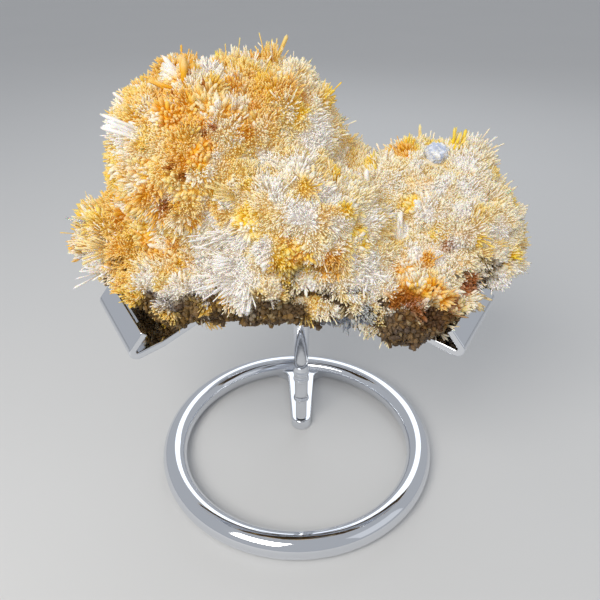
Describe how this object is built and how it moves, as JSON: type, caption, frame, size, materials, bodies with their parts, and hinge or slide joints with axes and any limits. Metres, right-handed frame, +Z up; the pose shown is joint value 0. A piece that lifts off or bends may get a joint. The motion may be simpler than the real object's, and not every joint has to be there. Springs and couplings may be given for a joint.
{
  "type": "creedite crystal cluster on a display stand",
  "caption": "Creedite crystal cluster of radiating needle sprays, cradled by the bent arms of a polished ring stand.",
  "frame": {"origin": "on the surface the stand rests on, under the middle of the object's box", "axes": "+Z up; the side that the picture shows faces -Y; +X to the right as seen from there"},
  "size_m": [0.0854, 0.0598, 0.085],
  "materials": {
    "creedite": "glassy fine crystals, orange to white",
    "polished_metal": "mirror polish"
  },
  "bodies": {
    "root": {"creedite_cluster": "creedite", "ring_base": "polished_metal", "post": "polished_metal", "hub": "polished_metal", "arm_left": "polished_metal", "arm_right": "polished_metal", "arm_back": "polished_metal"}
  },
  "joints": []
}
